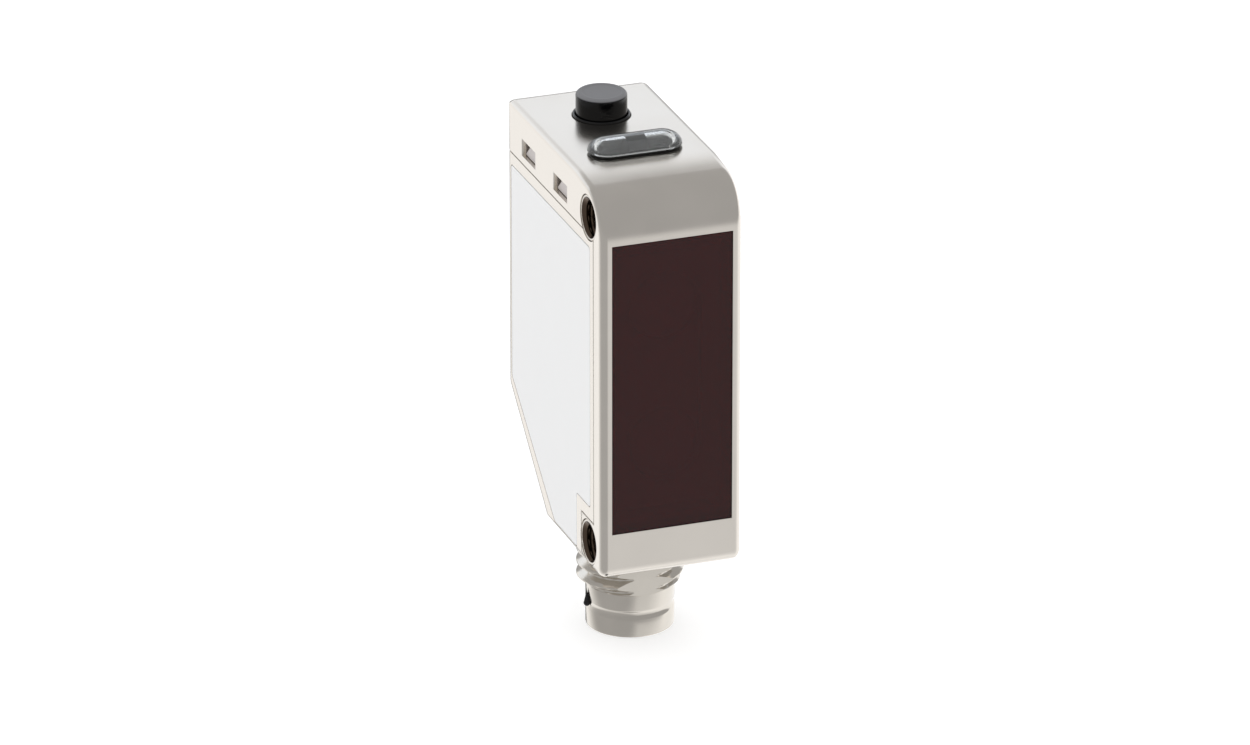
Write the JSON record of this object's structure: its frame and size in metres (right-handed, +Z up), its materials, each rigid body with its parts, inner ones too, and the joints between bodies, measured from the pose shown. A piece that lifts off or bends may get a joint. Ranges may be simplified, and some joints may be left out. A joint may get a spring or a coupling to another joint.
{
  "type": "photoelectric sensor",
  "caption": "Miniature block-shaped photoelectric sensor: metal housing, dark front window, push button and indicator on top, M8 plug connector below.",
  "frame": {"origin": "middle of the width and depth, at the level of the connector's open end", "axes": "+Z up from the connector to the roof, -Y out of the front window, X across the width"},
  "size_m": [0.0108, 0.021, 0.0395],
  "materials": {
    "casting": "satin, fine blasted",
    "bush": "turned",
    "plate": "smooth satin film",
    "nickel": "nickel plated brass",
    "gold": "gold plated",
    "spring": "spring steel",
    "filter": "polished dark red filter",
    "lens": "clear moulded lens",
    "clear": "clear moulded plastic",
    "black_plastic": "fine moulded grain",
    "grey_plastic": "moulded, satin",
    "rubber": "smooth elastomer",
    "board": "solder mask on glass fibre laminate",
    "polyimide": "amber film",
    "chip": "moulded epoxy",
    "led": "clear encapsulant on white body"
  },
  "bodies": {
    "sensor": {"front_shell": "casting", "rear_cover": "casting", "left_side_plate": "plate", "right_side_plate": "plate", "upper_mounting_bush": "bush", "lower_mounting_bush": "bush", "front_window": "filter", "window_seal": "rubber", "optics_carrier": "black_plastic", "snap_frame": "grey_plastic", "emitter_lens": "lens", "receiver_lens": "lens", "emitter_led": "led", "receiver_photodiode": "chip", "optics_board": "board", "main_board": "board", "control_chip": "chip", "output_driver_chip": "chip", "buffer_capacitor": "chip", "protection_diode": "chip", "ui_board": "board", "flex_link": "polyimide", "power_led": "led", "output_led": "led", "indicator_window": "clear", "indicator_divider": "black_plastic", "indicator_seal": "rubber", "button_seal": "rubber", "switch_body": "black_plastic", "switch_dome": "spring", "connector_shell": "nickel", "coding_nib": "black_plastic", "connector_insert": "black_plastic", "connector_seal": "rubber", "connector_board": "board", "contact_pin_1": "gold", "contact_pin_2": "gold", "contact_pin_3": "gold", "contact_pin_4": "gold"},
    "button": {"button_cap": "black_plastic", "switch_plunger": "black_plastic"}
  },
  "joints": [
    {"name": "button_press", "type": "slide", "parent": "sensor", "child": "button", "axis": [0, 0, -1], "range_m": [0, 0.0005], "stiffness_N_per_m": 1500, "springref_m": -0.0003, "deforming": ["switch_dome"]}
  ]
}
